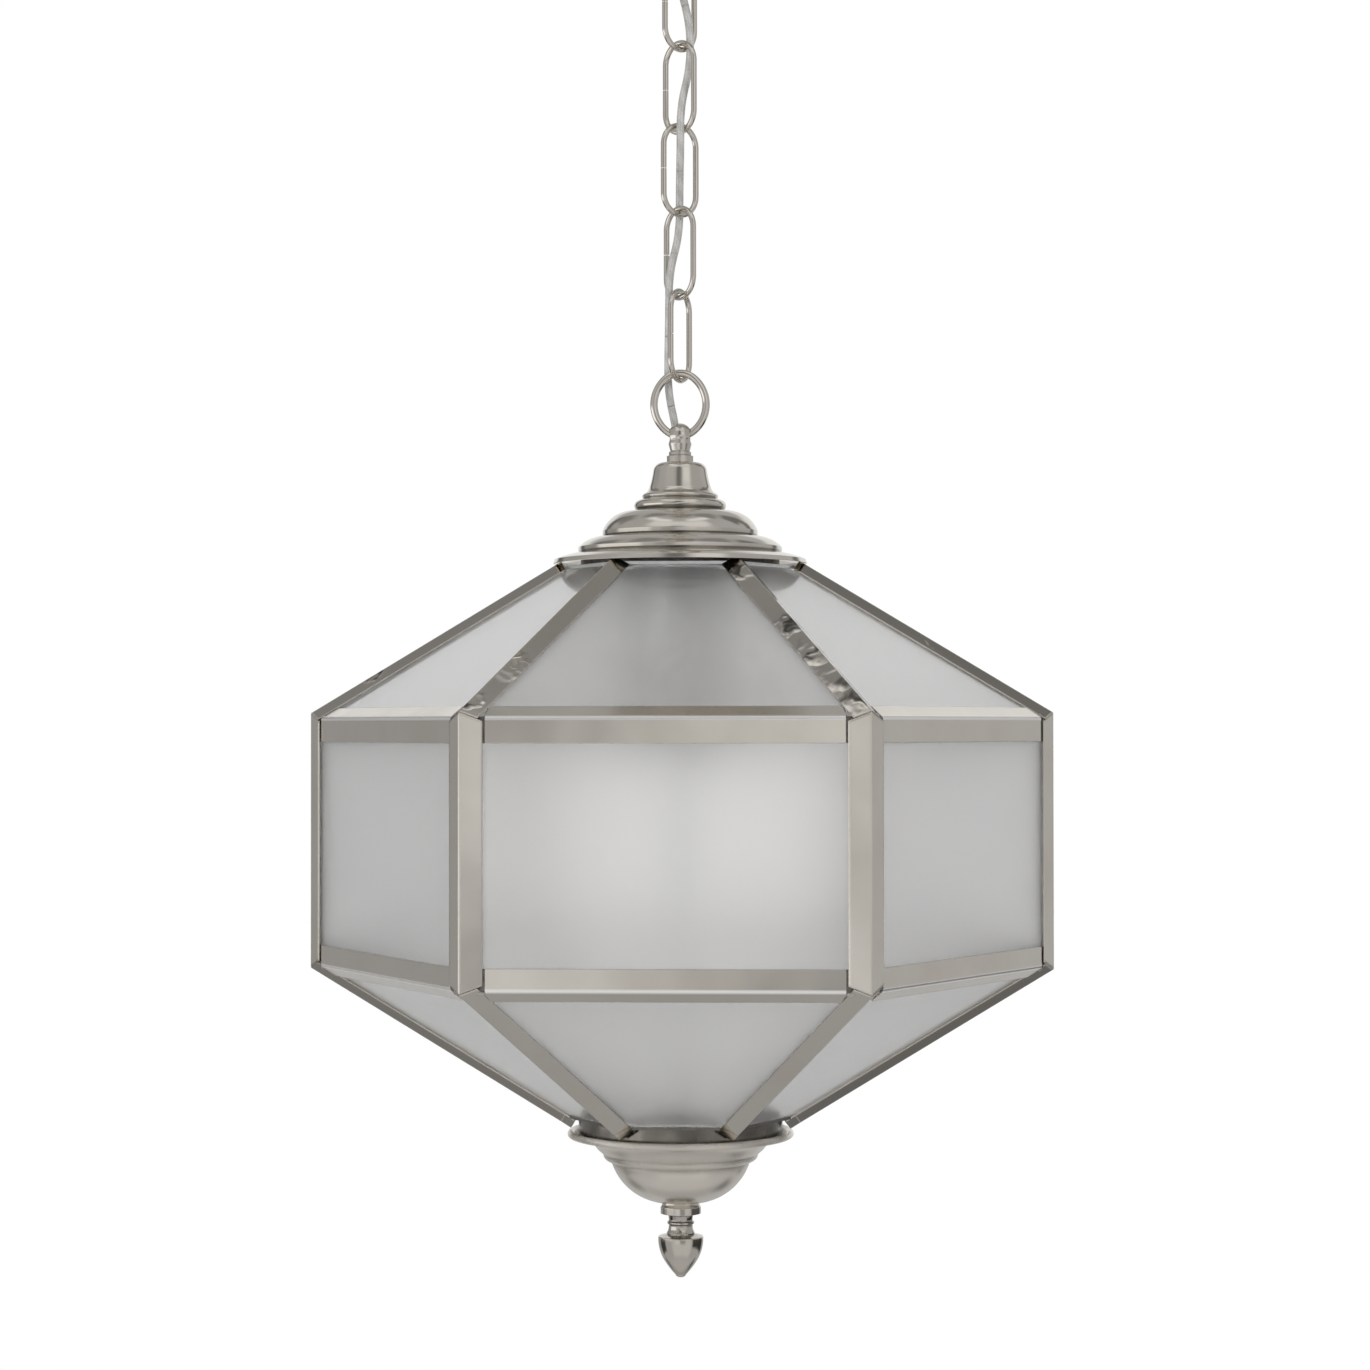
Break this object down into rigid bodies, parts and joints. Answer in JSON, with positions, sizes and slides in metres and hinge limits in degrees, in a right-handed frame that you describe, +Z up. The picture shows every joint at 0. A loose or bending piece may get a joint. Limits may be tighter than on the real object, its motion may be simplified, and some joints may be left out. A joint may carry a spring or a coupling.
{
  "type": "pendant light",
  "caption": "Hexagonal glass lantern in a folded metal cage, with a spun cap and dish, hung by a chain from a ceiling canopy; lamps inside and a finial that unscrews.",
  "frame": {"origin": "centre of the ceiling bracket's upper face, on the ceiling plane above the chain", "axes": "+Z up to the ceiling, -Y towards the viewer of the picture, +X to the viewer's right"},
  "size_m": [0.38, 0.3292, 0.7298],
  "materials": {
    "nickel": "bright nickel plate on brass",
    "steel": "zinc-plated steel",
    "pane_glass": "frosted flat glass, translucent white",
    "bulb_glass": "clear blown glass",
    "lamp_cap": "plain",
    "holder": "matte moulding",
    "moulding": "matte moulding",
    "flex": "clear sheath"
  },
  "bodies": {
    "ceiling_fitting": {"ceiling_bracket": "steel", "stem_nipple": "steel", "bracket_nut": "steel", "ceiling_canopy": "nickel", "canopy_loop": "nickel", "terminal_block": "moulding", "cord_grip": "moulding", "flex_cord": "flex"},
    "link_1": {"chain_link_1": "nickel"},
    "link_2": {"chain_link_2": "nickel"},
    "link_3": {"chain_link_3": "nickel"},
    "link_4": {"chain_link_4": "nickel"},
    "link_5": {"chain_link_5": "nickel"},
    "ring": {"suspension_ring": "nickel"},
    "lantern": {"ball_loop": "nickel", "cord_bush": "moulding", "top_cap": "nickel", "coupling_nut": "steel", "roof_plate": "steel", "centre_rod": "steel", "rod_nuts": "steel", "cluster_plate": "steel", "lamp_caps": "lamp_cap", "lower_ring": "nickel", "upper_hip_bars": "nickel", "lower_hip_bars": "nickel", "upper_rails": "nickel", "lower_rails": "nickel", "lampholder_1": "holder", "lampholder_2": "holder", "lampholder_3": "holder", "bulb_1": "bulb_glass", "bulb_2": "bulb_glass", "bulb_3": "bulb_glass", "belt_pane_1": "pane_glass", "belt_pane_2": "pane_glass", "belt_pane_3": "pane_glass", "belt_pane_4": "pane_glass", "belt_pane_5": "pane_glass", "belt_pane_6": "pane_glass", "upper_pane_1": "pane_glass", "upper_pane_2": "pane_glass", "upper_pane_3": "pane_glass", "upper_pane_4": "pane_glass", "upper_pane_5": "pane_glass", "upper_pane_6": "pane_glass", "lower_pane_1": "pane_glass", "lower_pane_2": "pane_glass", "lower_pane_3": "pane_glass", "lower_pane_4": "pane_glass", "lower_pane_5": "pane_glass", "lower_pane_6": "pane_glass", "corner_post_1": "nickel", "corner_post_2": "nickel", "corner_post_3": "nickel", "corner_post_4": "nickel", "corner_post_5": "nickel", "corner_post_6": "nickel"},
    "dish": {"bottom_dish": "nickel"},
    "finial": {"finial": "nickel"}
  },
  "joints": [
    {"name": "link_1_swing", "type": "hinge", "parent": "ceiling_fitting", "child": "link_1", "pos_m": [0, 0, -0.0597], "axis": [-0.7314, 0.682, 0], "range_deg": [-20, 20], "deforming": ["flex_cord"]},
    {"name": "link_2_swing", "type": "hinge", "parent": "link_1", "child": "link_2", "pos_m": [0, 0, -0.1017], "axis": [0.6947, 0.7193, 0], "range_deg": [-20, 20], "deforming": ["flex_cord"]},
    {"name": "link_3_swing", "type": "hinge", "parent": "link_2", "child": "link_3", "pos_m": [0, 0, -0.1442], "axis": [-0.6561, 0.7547, 0], "range_deg": [-20, 20], "deforming": ["flex_cord"]},
    {"name": "link_4_swing", "type": "hinge", "parent": "link_3", "child": "link_4", "pos_m": [0, 0, -0.1867], "axis": [0.7314, 0.682, 0], "range_deg": [-20, 20], "deforming": ["flex_cord"]},
    {"name": "link_5_swing", "type": "hinge", "parent": "link_4", "child": "link_5", "pos_m": [0, 0, -0.2292], "axis": [-0.91, 0.4147, 0], "range_deg": [-20, 20], "deforming": ["flex_cord"]},
    {"name": "ring_swing", "type": "hinge", "parent": "link_5", "child": "ring", "pos_m": [0, 0, -0.2717], "axis": [0, 1, 0], "range_deg": [-25, 25], "deforming": ["flex_cord"]},
    {"name": "lantern_swing", "type": "hinge", "parent": "ring", "child": "lantern", "pos_m": [0, 0, -0.3001], "axis": [1, 0, 0], "range_deg": [-30, 30], "deforming": ["flex_cord"]},
    {"name": "dish_drop", "type": "slide", "parent": "lantern", "child": "dish", "axis": [0, 0, -1], "range_m": [0, 0.005]},
    {"name": "finial_spin", "type": "hinge", "parent": "dish", "child": "finial", "pos_m": [0, 0, -0.7], "axis": [0, 0, -1], "range_deg": [0, 1800]}
  ],
  "couplings": [
    {"joint": "finial_spin", "follows": "dish_drop", "rad_per_m": 6283.2}
  ]
}
